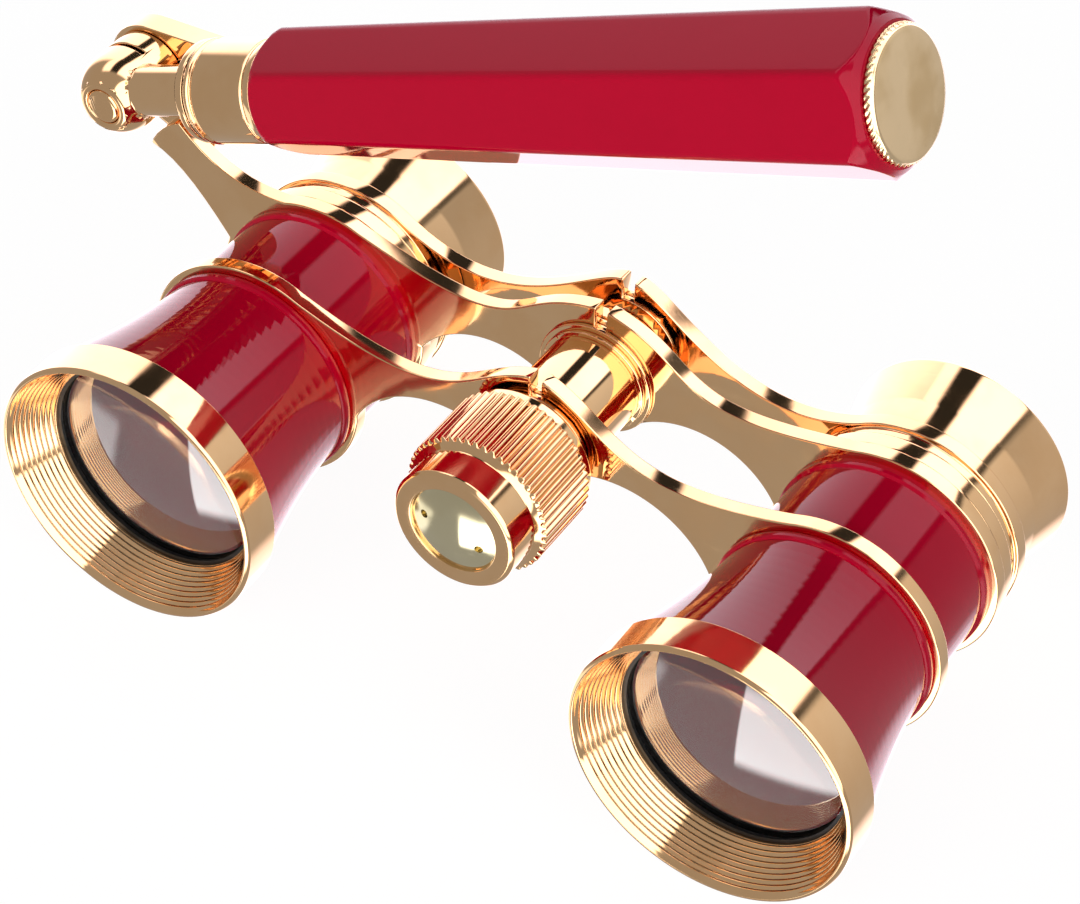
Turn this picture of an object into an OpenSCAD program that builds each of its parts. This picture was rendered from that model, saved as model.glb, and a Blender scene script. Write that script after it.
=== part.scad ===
// Folding opera glasses on a side handle (a lorgnette), lens rims forward along -Y.
// Two lacquered barrels hang on three gilt bridge plates that fold about one centre hinge.
// A knob on the hinge axis moves the rear plate and both eyepieces together.
// The handle swings on a knuckle at the outer end of the left middle plate,
// turns on its own axis and pulls out on an inner tube.
// All lengths in millimetres. Lengths along Y are counted back from the front rims.

/* [Barrels] */
// Sideways distance from the centre hinge to each barrel axis
barrel_x = 34.4; // [33.5:0.1:37]
// Height of the centre hinge above the barrel axes
barrel_drop = 7.1; // [5.5:0.1:8.5]
// Width of the objective rim from its clear opening to its outside
rim_band = 3.1; // [2.8:0.1:3.6]
// Length of the gilt objective rim
rim_len = 4.6; // [4.4:0.1:5]
// Clear radius in front of the objective lens
aperture_r = 12.5; // [11.5:0.1:12.6]
// Turned steps inside the objective rim
rim_steps = 9; // [6:1:12]
// How fast the front shell draws in behind its mouth
shell_curve = 1.6; // [1.3:0.1:2]
// Outer radius of the plain rear shell
rear_shell_r = 11.7; // [11.2:0.1:12.4]
// Thickness of the lacquered rear shell on the tube inside it
shell_wall = 0.4; // [0.3:0.05:0.6]

/* [Bridge] */
// Distance from the front rims to the front bridge plate
front_y = 23.4; // [22:0.1:25]
// Distance from the front rims to the middle bridge plate
middle_y = 36.1; // [35:0.1:38]
// Thickness of every bridge plate
plate_t = 1.8; // [1.6:0.1:2.2]
// How far the front plate stands out round the barrel
front_ring_w = 1.3; // [1:0.1:2]
// How far the middle plate stands out round the barrel
middle_ring_w = 1.2; // [1:0.1:2]
// How far the rear plate stands out round the barrel
rear_ring_w = 0.8; // [0.6:0.1:1.6]
// Radius of the lapped discs at the centre hinge
lap_r = 6.4; // [6:0.1:7]
// Height of the stop horns above the hinge axis
horn_h = 8.9; // [8:0.1:9.6]
// Gap between the two stop horns with the glasses open
horn_gap = 1.4; // [1.2:0.1:2]
// Outer radius of the centre column
column_r = 5.6; // [5:0.1:6]

/* [Focusing] */
// Outer radius over the ribs of the focus knob
knob_r = 8.2; // [7.9:0.1:9]
// Ribs round the focus knob
knob_ribs = 50; // [36:2:60]
// Distance from the front rims to the face of the focus knob
knob_y = 8.4; // [7:0.1:10]
// Travel of the eyepieces when the knob turns
focus_travel = 5; // [3:0.5:6]

/* [Eyepieces] */
// Length of the eyecup behind the rear plate
cup_len = 9.3; // [8.5:0.1:11]
// How far the eyecup flares out from its foot to its rim
cup_flare = 1.76; // [1.4:0.02:2.4]

/* [Handle] */
// Sideways distance from the left barrel axis out to the handle pin
pin_out = 24.5; // [23:0.1:26]
// Height of the handle pin above the barrel axes
pin_up = 19.7; // [18.5:0.1:21]
// Distance from the front rims to the handle axis
handle_y = 34.2; // [33.9:0.1:34.3]
// Angle at which the handle rests above the bridge
handle_tilt = 23.4; // [15:0.1:60]
// Distance from the handle pin to the mouth of the six-sided sleeve
sleeve_start = 23.1; // [21:0.1:26]
// Length of the six-sided sleeve
sleeve_len = 74.2; // [60:0.2:90]
// Radius over the corners at the mouth of the sleeve
sleeve_mouth_r = 6.9; // [6.6:0.05:7.6]
// Radius over the corners at the far end of the sleeve
sleeve_end_r = 8.5; // [8.2:0.05:9.4]
// Radius of the knuckle ball
ball_r = 4.5; // [4.2:0.1:4.9]

/* [Hidden] */
$fn = 96;

// Clearances: round a turning or sliding fit, beside a turning face, and at rest between bodies
run = 0.05;
side_gap = 0.1;
rest_gap = 0.3;
eps = 0.01;

// Radii of a barrel, worked outwards from its tube and from its clear opening
tube_r = rear_shell_r - shell_wall;
draw_r = tube_r - 0.85;
shell_neck_r = rear_shell_r + 0.3;
rim_r = aperture_r + rim_band;
shell_mouth_r = rim_r - 0.3;
front_ring_r = rear_shell_r + front_ring_w;
middle_ring_r = rear_shell_r + middle_ring_w;
rear_ring_r = rear_shell_r + rear_ring_w;
cup_foot_r = draw_r + 0.45;
cup_rim_r = cup_foot_r + cup_flare;

// Stations along the barrels, counted back from the front rims
rear_gap = 3.7;
rear_y = middle_y + plate_t + rear_gap;
cup_y = rear_y + plate_t + 0.8;
back_y = cup_y + cup_len;
draw_len = focus_travel + 7.6;
lens_seat_y = rim_len + 0.9;
spacer_t = 0.6;
shell_seat_len = 4;
shell_neck_y = front_y - 1.2;
tube_start_y = front_y - 3.4;
stop_ring_end_y = rear_y - 1.1 - rest_gap;
rim_spigot_r = aperture_r + 0.85;
lens_r = aperture_r + 0.25;
lens_edge_t = 1.6;
tube_bore_r = draw_r + run;

// Centre hinge
spigot_r = 4.2;
column_bore_r = 3;
lap_t = plate_t / 2 - run;
column_end_y = middle_y - run - 1;

// Focus knob and spindle
knob_band_r = knob_r - 1.15;
knob_ribs_y = knob_y + 3.9;
knob_end_y = front_y - 0.8;
knob_shoulder_y = knob_end_y - 1.4;
dome_r = 5;
spindle_r = 2.4;
rear_spigot_r = 3.2;

// Handle pin in the hinge's own axes, and stations along the handle counted from the pin
pin_x = -barrel_x - pin_out;
pin_z = pin_up - barrel_drop;
lug_r = 5.5;
lug_shift = [0.3, -0.4];
lug_foot_y = middle_y + plate_t;
lug_y = lug_foot_y + 1.4;
lug_t = 2.8;
lug_heel = [8.2, 2.6, 3.2];
lug_foot = [6, -6.6, 2.2];
pin_r = 1.6;
neck_r = 2.75;
neck_bore_r = 1.8;
neck_bore_s = 6.4;
flange_s = sleeve_start - 10.7;
flange_end_s = flange_s + 1.3;
flange_r = 5.45;
collar_r = 5.55;
collar_s = flange_end_s + side_gap;
sleeve_end_s = sleeve_start + sleeve_len;
inner_r = 3.6;
inner_end_s = sleeve_end_s - 17;
sleeve_bore_r = 5;
tube_stop_len = 4;
cap_plug_len = 5;

// The origin lies under the middle of the box round the resting glasses
box_mid_x = (barrel_x + rim_r + pin_x + lug_shift[0] - lug_r) / 2;
box_mid_y = back_y / 2;
floor_z = -barrel_drop - rim_r;

gold = "#D9A866";
pale_gold = "#E3CFA0";
crimson = "#A50A2E";
black = "#1B1819";
coated_glass = "#6B5560";
clear_glass = "#C9D3D6";

// Point on a curve drawn from a to d, leaving towards b and arriving from c
function curve_point(a, b, c, d, t) =
    pow(1 - t, 3) * a + 3 * pow(1 - t, 2) * t * b + 3 * (1 - t) * t * t * c + pow(t, 3) * d;
function curve(a, b, c, d, n) = [for (i = [0:n]) curve_point(a, b, c, d, i / n)];
function polar(r, angle) = r * [cos(angle), sin(angle)];

// Rest the whole object on the floor plane
module stand() {
    translate([-box_mid_x, -box_mid_y, -floor_z]) children();
}

// Solid turned about the Y axis from points [radius, distance back]
module turned(profile) {
    rotate([-90, 0, 0]) rotate_extrude() polygon(profile);
}

// The same turned about a barrel axis, side 1 for the right and -1 for the left
module barrel_turned(side, profile) {
    translate([side * barrel_x, 0, -barrel_drop]) turned(profile);
}

// Disc or ring about the hinge axis between two stations
module hub_ring(outer, inner, from_y, to_y) {
    turned([[inner, from_y], [outer, from_y], [outer, to_y], [inner, to_y]]);
}

// Cylinder along Y between two stations
module rod_y(r, from_y, to_y) {
    translate([0, from_y, 0]) rotate([-90, 0, 0]) cylinder(r = r, h = to_y - from_y);
}

// Outline in the XZ plane, thickened from one station to another
module slab(from_y, to_y) {
    translate([0, to_y, 0]) rotate([90, 0, 0]) linear_extrude(to_y - from_y) children();
}

// Rim in front of each objective: a funnel of turned steps down to the lens seat
module objective_rim(side) {
    edge = 0.5;
    funnel_r = rim_r - 0.75;
    funnel_y = 0.35;
    lip_y = lens_seat_y - 0.4;
    step_r = (funnel_r - aperture_r) / rim_steps;
    step_y = (lip_y - funnel_y) / rim_steps;
    steps = [for (i = [0:rim_steps - 1], j = [0, 1])
        [funnel_r - step_r * (i + j), funnel_y + step_y * i]];
    rounding = [for (a = [0:30:90]) [rim_r - edge, edge] + polar(edge, -a)];
    color(gold) barrel_turned(side, concat(
        rounding,
        [[funnel_r + 0.2, 0]],
        steps,
        [
            [aperture_r, lens_seat_y],
            [lens_r, lens_seat_y],
            [lens_r, rim_len + shell_seat_len],
            [rim_spigot_r, rim_len + shell_seat_len],
            [rim_spigot_r, rim_len],
            [rim_r, rim_len]
        ]
    ));
}

// Blackened ring between the rim's lip and the objective lens
module spacer_ring(side) {
    color(black) barrel_turned(side, [
        [aperture_r - 0.35, lens_seat_y],
        [lens_r, lens_seat_y],
        [lens_r, lens_seat_y + spacer_t],
        [aperture_r - 0.1, lens_seat_y + spacer_t]
    ]);
}

// Objective lens with a domed front face and a flat back
module objective_lens(side) {
    front = lens_seat_y + spacer_t;
    back = front + lens_edge_t;
    sag = 2;
    dome_edge_r = aperture_r - 0.4;
    ball = (pow(dome_edge_r, 2) + pow(sag, 2)) / (2 * sag);
    color(coated_glass) translate([side * barrel_x, 0, -barrel_drop]) union() {
        rod_y(lens_r, front, back);
        intersection() {
            rod_y(dome_edge_r, front - sag - 1, front + eps);
            translate([0, front - sag + ball, 0]) sphere(r = ball, $fn = 180);
        }
    }
}

// Threaded ring that holds the objective lens from behind
module lens_ring(side) {
    front = lens_seat_y + spacer_t + lens_edge_t;
    color(black) barrel_turned(side, [
        [lens_r - 0.9, front],
        [lens_r, front],
        [lens_r, front + 0.8],
        [lens_r - 0.9, front + 0.8]
    ]);
}

// Lacquered front shell, drawn in behind the rim and ending in a small bead
module front_shell(side) {
    n = 12;
    wall = 0.8;
    length = shell_neck_y - rim_len;
    seat_end = rim_len + shell_seat_len + 0.1;
    function shell_r(y) =
        shell_neck_r + (shell_mouth_r - shell_neck_r) * pow(max(0, shell_neck_y - y) / length, shell_curve);
    outside = [for (i = [0:n]) let (y = rim_len + length * i / n) [shell_r(y), y]];
    inside = [for (i = [n - 4:-1:0]) let (y = seat_end + (tube_start_y - seat_end) * i / (n - 4))
        [max(tube_r, min(rim_spigot_r, shell_r(y) - wall)), y]];
    bead = [for (a = [-90:30:90]) [shell_neck_r, (shell_neck_y + front_y) / 2]
        + [0.35 * cos(a), (front_y - shell_neck_y) / 2 * sin(a)]];
    color(crimson) barrel_turned(side, concat(
        outside,
        bead,
        [[tube_r, front_y]],
        inside,
        [[rim_spigot_r, seat_end - 0.05], [rim_spigot_r, rim_len]]
    ));
}

// Blackened tube that carries both shells and the two fixed bridge plates
module inner_tube(side) {
    color(black) barrel_turned(side, [
        [tube_bore_r, tube_start_y],
        [tube_r, tube_start_y],
        [tube_r, stop_ring_end_y],
        [tube_bore_r, stop_ring_end_y]
    ]);
}

// Lacquered rear shell with a bead against the middle plate
module rear_shell(side) {
    from_y = front_y + plate_t;
    bead_y = middle_y - 1.2;
    color(crimson) barrel_turned(side, [
        [tube_r, from_y],
        [rear_shell_r, from_y],
        [rear_shell_r, bead_y],
        [rear_shell_r + 0.3, bead_y + 0.25],
        [rear_shell_r + 0.35, bead_y + 0.6],
        [rear_shell_r + 0.3, middle_y],
        [tube_r, middle_y]
    ]);
}

// Gilt ring behind the middle plate, the stop for the eyepiece carriage
module stop_ring(side) {
    from_y = middle_y + plate_t;
    r = middle_ring_r - 0.3;
    color(gold) barrel_turned(side, [
        [tube_r, from_y],
        [r - 0.25, from_y],
        [r, from_y + 0.25],
        [r, stop_ring_end_y - 0.25],
        [r - 0.25, stop_ring_end_y],
        [tube_r, stop_ring_end_y]
    ]);
}

// Outline of a bridge arm on the right: the top edge leaves the stop horn and comes in
// tangent to the barrel ring at meet_angle, and an arch is cut away under the arm
module arm_outline(ring_r, leave_angle, leave_len, meet_angle, meet_len, arch_x, arch_z, arch_r) {
    grow = barrel_x / 34.4;
    ring = [barrel_x, -barrel_drop];
    horn = [horn_gap / 2, horn_h];
    meet = ring + polar(ring_r - 0.05, meet_angle);
    top = curve(horn, horn + polar(leave_len * grow, -leave_angle),
        meet - polar(meet_len * grow, meet_angle - 90), meet, 32);
    arch = [arch_x * grow, arch_z - arch_r];
    under = arch + arch_r * [0.94, 0.3];
    difference() {
        polygon(concat(top, [ring, under, [horn_gap / 2, -lap_r * 0.6]]));
        translate(arch) circle(r = arch_r, $fn = 128);
    }
}

// One bridge half: arm, barrel ring and lapped disc, half its thickness round the hinge.
// The left half laps in front and turns on the hinge, the right half is held fast behind it.
module bridge_half(side, from_y, ring_r, hinge_r, bore_r) {
    to_y = from_y + plate_t;
    lap_from = side < 0 ? from_y + lap_t : from_y - 1;
    lap_to = side < 0 ? to_y + 1 : to_y - lap_t;
    mirror([side < 0 ? 1 : 0, 0, 0]) difference() {
        union() {
            slab(from_y, to_y) children();
            rod_y(lap_r, from_y, to_y);
            translate([barrel_x, 0, -barrel_drop]) rod_y(ring_r, from_y, to_y);
        }
        rod_y(lap_r + side_gap, lap_from, lap_to);
        rod_y(side < 0 ? hinge_r + run : hinge_r, from_y - 1, to_y + 1);
        translate([barrel_x, 0, -barrel_drop]) rod_y(bore_r, from_y - 1, to_y + 1);
    }
}

module front_bridge(side) {
    color(gold) bridge_half(side, front_y, front_ring_r, spigot_r, tube_r)
        arm_outline(front_ring_r, 17, 9, 109, 22.3, 10.4, -0.3, 12.2);
}

// Outer part of the left middle plate, swept up to the handle hinge, drawn on the right
module handle_arm_outline() {
    pin = [-pin_x, pin_z];
    ring = [barrel_x, -barrel_drop];
    foot_in = ring + polar(middle_ring_r - 0.3, 81);
    foot_out = ring + polar(middle_ring_r - 0.8, 14);
    tip_in = pin + [-5.8, -3.1];
    tip_out = pin + [-2.1, -7.4];
    polygon(concat(
        curve(foot_in, foot_in + [5.5, -1.2], foot_in + [11, -1.6], tip_in, 12),
        curve(tip_in, tip_in + [1.1, -0.3], tip_out + [0, 1.2], tip_out, 6),
        curve(tip_out, tip_out + [-3.6, -0.7], foot_out + [3.4, 4.4], foot_out, 8),
        [ring]
    ));
}

module middle_bridge(side) {
    color(gold) bridge_half(side, middle_y, middle_ring_r, spigot_r, tube_r) {
        arm_outline(middle_ring_r, 10.7, 12.3, 106, 24.7, 12.2, -1.7, 11);
        if (side < 0) handle_arm_outline();
    }
}

// The rear plate carries an eyepiece: bosses before and behind it grip the draw tube
module rear_bridge(side) {
    boss_y = stop_ring_end_y + rest_gap;
    color(gold) union() {
        bridge_half(side, rear_y, rear_ring_r, rear_spigot_r, draw_r)
            arm_outline(rear_ring_r, 3.6, 4.3, 120, 16.2, 12.2, -1.7, 11);
        barrel_turned(side, [[draw_r, boss_y], [rear_ring_r - 0.5, boss_y],
            [rear_ring_r - 0.5, rear_y], [draw_r, rear_y]]);
        barrel_turned(side, [[draw_r, rear_y + plate_t], [draw_r + 0.5, rear_y + plate_t],
            [draw_r + 0.5, cup_y], [draw_r, cup_y]]);
    }
}

// Blackened tube that slides in the barrel with the eyepiece
module draw_tube(side) {
    color(black) barrel_turned(side, [
        [draw_r - 0.75, rear_y - draw_len],
        [draw_r, rear_y - draw_len],
        [draw_r, cup_y],
        [draw_r - 0.75, cup_y]
    ]);
}

// Flared gilt eyecup, dished behind the eye lens
module eyecup(side) {
    bore_r = draw_r - 0.75;
    lens_seat = cup_y + 0.4;
    dish_y = cup_y + 2.9;
    outside = curve([cup_foot_r, cup_y], [cup_foot_r + 0.2, cup_y + cup_len * 0.4],
        [cup_rim_r - 0.5, cup_y + cup_len * 0.6], [cup_rim_r, back_y - 0.6], 8);
    color(gold) barrel_turned(side, concat(
        outside,
        [[cup_rim_r - 0.15, back_y - 0.15], [cup_rim_r - 0.4, back_y], [cup_rim_r - 0.6, back_y]],
        curve([cup_rim_r - 0.8, back_y - 0.2], [cup_rim_r - 1.6, back_y - 2.4],
            [bore_r + 0.6, dish_y + 1.6], [bore_r + 0.1, dish_y], 6),
        [
            [bore_r - 0.8, dish_y],
            [bore_r - 0.8, lens_seat],
            [bore_r - 1.5, lens_seat],
            [bore_r - 1.5, cup_y - 2],
            [bore_r, cup_y - 2],
            [bore_r, cup_y]
        ]
    ));
}

// Eye lens, hollow on its rear face
module eye_lens(side) {
    r = draw_r - 1.55;
    from_y = cup_y + 0.4;
    edge_t = 1.4;
    ball = 44;
    sink = ball - sqrt(pow(ball, 2) - pow(r - 0.6, 2));
    color(clear_glass) translate([side * barrel_x, 0, -barrel_drop]) difference() {
        rod_y(r, from_y, from_y + edge_t);
        translate([0, from_y + edge_t - sink + ball, 0]) sphere(r = ball, $fn = 180);
    }
}

module eye_lens_ring(side) {
    r = draw_r - 1.55;
    from_y = cup_y + 1.8;
    color(black) barrel_turned(side, [
        [r - 0.7, from_y],
        [r, from_y],
        [r, from_y + 0.7],
        [r - 0.5, from_y + 0.7]
    ]);
}

// Centre column between the front and middle plates, with a spigot through each
module hub_column() {
    color(gold) turned([
        [column_bore_r, front_y - 0.65],
        [spigot_r, front_y - 0.65],
        [spigot_r, front_y + plate_t],
        [column_r, front_y + plate_t],
        [column_r, column_end_y],
        [spigot_r, column_end_y],
        [spigot_r, middle_y + plate_t + 1.5],
        [column_bore_r, middle_y + plate_t + 1.5]
    ]);
}

module hub_front_ring() {
    color(gold) hub_ring(column_r + 0.6, spigot_r, front_y - 0.65, front_y - run);
}

module hub_washer_front() {
    color(gold) hub_ring(column_r + 0.5, spigot_r, column_end_y, column_end_y + 0.5);
}

module hub_washer_rear() {
    color(gold) hub_ring(column_r + 1.1, spigot_r, column_end_y + 0.5, middle_y - run);
}

module hub_nut() {
    from_y = middle_y + plate_t;
    color(gold) hub_ring(column_r + 1, spigot_r, from_y, from_y + 1.5);
}

// Section of the knob's ribs: a raised land and a groove for each
module rib_section(r, depth, count) {
    pitch = 360 / count;
    polygon([for (i = [0:count - 1], p = [[0, -depth], [0.3, -depth], [0.45, 0], [0.85, 0]])
        polar(r + p[1], pitch * (i + p[0]))]);
}

// Focus knob: a plain band, straight ribs, a shoulder and a threaded sleeve in the column
module focus_knob() {
    edge = 0.4;
    rib_depth = 0.5;
    color(gold) difference() {
        union() {
            turned([
                [0, knob_y],
                [knob_band_r - edge, knob_y],
                [knob_band_r - 0.12, knob_y + 0.12],
                [knob_band_r, knob_y + edge],
                [knob_band_r, knob_ribs_y],
                [knob_r - rib_depth - run, knob_ribs_y + 0.55],
                [0, knob_ribs_y + 0.55]
            ]);
            slab(knob_ribs_y + 0.5, knob_shoulder_y) rib_section(knob_r, rib_depth, knob_ribs);
            turned([
                [0, knob_shoulder_y],
                [knob_r - 0.5, knob_shoulder_y],
                [knob_r - 0.5, knob_end_y - edge],
                [knob_r - 0.9, knob_end_y],
                [column_bore_r - run, knob_end_y],
                [column_bore_r - run, front_y + 9.6],
                [0, front_y + 9.6]
            ]);
        }
        rod_y(dome_r, knob_y - 1, knob_y + 1.2);
        rod_y(spindle_r + run, knob_y + 5, front_y + 11);
    }
}

// Domed screw in the knob's face, with two holes for a pin spanner
module knob_screw() {
    foot = knob_y + 1.2;
    edge = knob_y + 0.35;
    sag = 1;
    ball = (pow(dome_r, 2) + pow(sag, 2)) / (2 * sag);
    color(pale_gold) difference() {
        intersection() {
            rod_y(dome_r, knob_y - 1, foot);
            translate([0, edge - sag + ball, 0]) sphere(r = ball, $fn = 180);
        }
        for (a = [165, 350]) {
            hole = polar(3.3, a);
            translate([hole[0], 0, hole[1]]) rod_y(0.45, knob_y - 2, knob_y + 0.8);
        }
    }
}

// Spindle moved by the knob, with the shoulder and spigot that carry the rear plates
module focus_spindle() {
    color(gold) turned([
        [0, knob_y + 7],
        [spindle_r, knob_y + 7],
        [spindle_r, rear_y - 1.5],
        [5, rear_y - 1.5],
        [5, rear_y - run],
        [rear_spigot_r, rear_y - run],
        [rear_spigot_r, rear_y + plate_t],
        [0, rear_y + plate_t]
    ]);
}

module rear_hub_screw() {
    from_y = rear_y + plate_t;
    color(gold) difference() {
        turned([
            [0, from_y],
            [5.2, from_y],
            [5.2, from_y + 0.7],
            [4.7, from_y + 1.1],
            [2.5, from_y + 1.4],
            [0, from_y + 1.5]
        ]);
        for (x = [-2.8, 2.8])
            translate([x, 0, 0]) rod_y(0.45, from_y + 0.5, from_y + 2);
    }
}

// Place children at the handle pin, with X along the handle
module at_handle() {
    translate([pin_x, handle_y, pin_z]) rotate([0, -handle_tilt, 0]) children();
}

// Solid turned about the handle axis from points [radius, distance from the pin]
module handle_turned(profile) {
    rotate([0, 90, 0]) rotate_extrude() polygon(profile);
}

// Lug behind the outer end of the left middle plate, bored for the pin
module handle_lug() {
    color(gold) translate([pin_x, 0, pin_z]) difference() {
        union() {
            slab(lug_y, lug_y + lug_t) hull() {
                translate(lug_shift) circle(r = lug_r);
                translate([lug_heel[0], lug_heel[1]]) circle(r = lug_heel[2]);
                translate([lug_foot[0], lug_foot[1]]) circle(r = lug_foot[2]);
            }
            translate([lug_foot[0], 0, lug_foot[1]]) rod_y(lug_foot[2] - 0.2, lug_foot_y, lug_y + 1);
        }
        rod_y(pin_r, lug_y - 1, lug_y + lug_t + 1);
    }
}

// Pin through the knuckle, fast in the lug and spread over its back
module handle_pin() {
    front = handle_y - ball_r + 0.8;
    color(gold) translate([pin_x, 0, pin_z]) turned([
        [0, front],
        [1.7, front],
        [2, front + 0.25],
        [2, front + 1],
        [pin_r, front + 1],
        [pin_r, lug_y + lug_t],
        [2.5, lug_y + lug_t],
        [2.1, lug_y + lug_t + 0.6],
        [0, lug_y + lug_t + 0.7]
    ]);
}

// Knuckle: a ball with a flat face, split by a saw cut, on a neck with the handle's flange
module handle_knuckle() {
    face = ball_r - 1;
    back = lug_y - handle_y - side_gap;
    cut_y = middle_y - handle_y;
    head_r = 2 + run;
    color(gold) at_handle() difference() {
        union() {
            intersection() {
                sphere(r = ball_r);
                rod_y(ball_r + 1, -face, eps);
            }
            rod_y(ball_r, 0, back);
            handle_turned([
                [0, 0],
                [neck_r, 0],
                [neck_r, flange_s - 0.9],
                [neck_r + 0.3, flange_s - 0.4],
                [neck_r + 1, flange_s],
                [flange_r - 0.25, flange_s],
                [flange_r, flange_s + 0.25],
                [flange_r, flange_end_s - 0.25],
                [flange_r - 0.25, flange_end_s],
                [0, flange_end_s]
            ]);
        }
        rod_y(pin_r + run, -ball_r - 1, back + 1);
        rod_y(head_r, -ball_r - 1, -ball_r + 0.8 + 1.1);
        translate([-ball_r - 1, cut_y, -ball_r - 1]) cube([ball_r + 4, 0.5, 2 * ball_r + 2]);
        handle_turned([
            [0, neck_bore_s],
            [neck_bore_r + run, neck_bore_s],
            [neck_bore_r + run, flange_s + 0.1],
            [inner_r + run, flange_s + 0.1],
            [inner_r + run, flange_end_s + 1],
            [0, flange_end_s + 1]
        ]);
    }
}

// Inner tube: a spigot turns in the neck, and the sleeve slides along the tube
module handle_tube() {
    bore_r = inner_r - 0.6;
    color(gold) at_handle() handle_turned([
        [0, neck_bore_s + 0.1],
        [neck_bore_r, neck_bore_s + 0.1],
        [neck_bore_r, flange_s + 0.2],
        [inner_r, flange_s + 0.2],
        [inner_r, inner_end_s],
        [bore_r, inner_end_s],
        [bore_r, flange_end_s + 1.5],
        [0, flange_end_s + 1.5]
    ]);
}

module tube_stop() {
    color(gold) at_handle() handle_turned([
        [inner_r, inner_end_s - tube_stop_len],
        [sleeve_bore_r - run, inner_end_s - tube_stop_len],
        [sleeve_bore_r - run, inner_end_s],
        [inner_r, inner_end_s]
    ]);
}

// Gilt collar in the mouth of the sleeve, grooved and flared, bored to slide on the tube
module handle_collar() {
    groove = 0.2;
    color(gold) at_handle() handle_turned([
        [inner_r + run, collar_s],
        [collar_r - 0.2, collar_s],
        [collar_r + 0.05, collar_s + 0.2],
        [collar_r + 0.05, collar_s + 0.55],
        [collar_r - 0.35, collar_s + 0.7],
        [collar_r - 0.35, collar_s + 0.7 + groove],
        [collar_r, collar_s + 1 + groove],
        [collar_r, sleeve_start - 1.4],
        [collar_r - 0.2, sleeve_start - 1.3],
        [collar_r - 0.2, sleeve_start - 1.3 + groove],
        [collar_r, sleeve_start - 1],
        [collar_r + 0.25, sleeve_start],
        [sleeve_bore_r, sleeve_start],
        [sleeve_bore_r, sleeve_start + 5],
        [inner_r + run, sleeve_start + 5]
    ]);
}

// Lacquered six-sided sleeve, widening outwards, both ends turned down across the corners
module handle_sleeve() {
    corner_turn = 48.25;
    mouth_round = 1.7;
    end_round = 2.2;
    color(crimson) at_handle() difference() {
        intersection() {
            rotate([0, 90, 0]) rotate([0, 0, corner_turn])
                translate([0, 0, sleeve_start])
                cylinder(r1 = sleeve_mouth_r, r2 = sleeve_end_r, h = sleeve_len, $fn = 6);
            handle_turned([
                [0, sleeve_start - eps],
                [sleeve_mouth_r - 1.15, sleeve_start - eps],
                [sleeve_mouth_r - 0.4, sleeve_start + mouth_round * 0.4],
                [sleeve_mouth_r + 0.1, sleeve_start + mouth_round],
                [sleeve_end_r + 1, sleeve_start + mouth_round + 2],
                [sleeve_end_r + 1, sleeve_end_s - end_round],
                [sleeve_end_r + 0.1, sleeve_end_s - end_round],
                [sleeve_end_r - 0.4, sleeve_end_s - 1.45],
                [sleeve_end_r - 1.05, sleeve_end_s - 0.6],
                [sleeve_end_r - 1.7, sleeve_end_s + eps],
                [0, sleeve_end_s + eps]
            ]);
        }
        handle_turned([
            [0, sleeve_start - 1],
            [sleeve_bore_r, sleeve_start - 1],
            [sleeve_bore_r, sleeve_end_s + 1],
            [0, sleeve_end_s + 1]
        ]);
    }
}

// End cap: a coin-edged disc on a plug in the sleeve
module handle_cap() {
    edge_r = sleeve_end_r - 1.85;
    face_r = edge_r - 0.3;
    color(gold) at_handle() {
        translate([sleeve_end_s, 0, 0]) rotate([0, 90, 0])
            linear_extrude(0.8) rib_section(edge_r, 0.2, 60);
        handle_turned([
            [0, sleeve_end_s - cap_plug_len],
            [sleeve_bore_r, sleeve_end_s - cap_plug_len],
            [sleeve_bore_r, sleeve_end_s],
            [face_r, sleeve_end_s],
            [face_r, sleeve_end_s + 0.9],
            [face_r - 0.25, sleeve_end_s + 1.05],
            [0, sleeve_end_s + 1.15]
        ]);
    }
}

stand() objective_rim(1);  // objective_rim_right
stand() objective_rim(-1);  // objective_rim_left
stand() spacer_ring(1);  // spacer_ring_right
stand() spacer_ring(-1);  // spacer_ring_left
stand() objective_lens(1);  // objective_lens_right
stand() objective_lens(-1);  // objective_lens_left
stand() lens_ring(1);  // lens_ring_right
stand() lens_ring(-1);  // lens_ring_left
stand() front_shell(1);  // front_shell_right
stand() front_shell(-1);  // front_shell_left
stand() inner_tube(1);  // inner_tube_right
stand() inner_tube(-1);  // inner_tube_left
stand() front_bridge(1);  // front_bridge_right
stand() front_bridge(-1);  // front_bridge_left
stand() rear_shell(1);  // rear_shell_right
stand() rear_shell(-1);  // rear_shell_left
stand() middle_bridge(1);  // middle_bridge_right
stand() middle_bridge(-1);  // middle_bridge_left
stand() stop_ring(1);  // stop_ring_right
stand() stop_ring(-1);  // stop_ring_left
stand() rear_bridge(1);  // rear_bridge_right
stand() rear_bridge(-1);  // rear_bridge_left
stand() draw_tube(1);  // draw_tube_right
stand() draw_tube(-1);  // draw_tube_left
stand() eyecup(1);  // eyecup_right
stand() eyecup(-1);  // eyecup_left
stand() eye_lens(1);  // eye_lens_right
stand() eye_lens(-1);  // eye_lens_left
stand() eye_lens_ring(1);  // eye_lens_ring_right
stand() eye_lens_ring(-1);  // eye_lens_ring_left
stand() hub_column();
stand() hub_front_ring();
stand() hub_washer_front();
stand() hub_washer_rear();
stand() hub_nut();
stand() focus_knob();
stand() knob_screw();
stand() focus_spindle();
stand() rear_hub_screw();
stand() handle_lug();
stand() handle_pin();
stand() handle_knuckle();
stand() handle_tube();
stand() tube_stop();
stand() handle_collar();
stand() handle_sleeve();
stand() handle_cap();
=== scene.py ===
from math import cos, exp, log, pi, radians, sin

import bmesh
import bpy
from mathutils import Matrix, Vector


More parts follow.
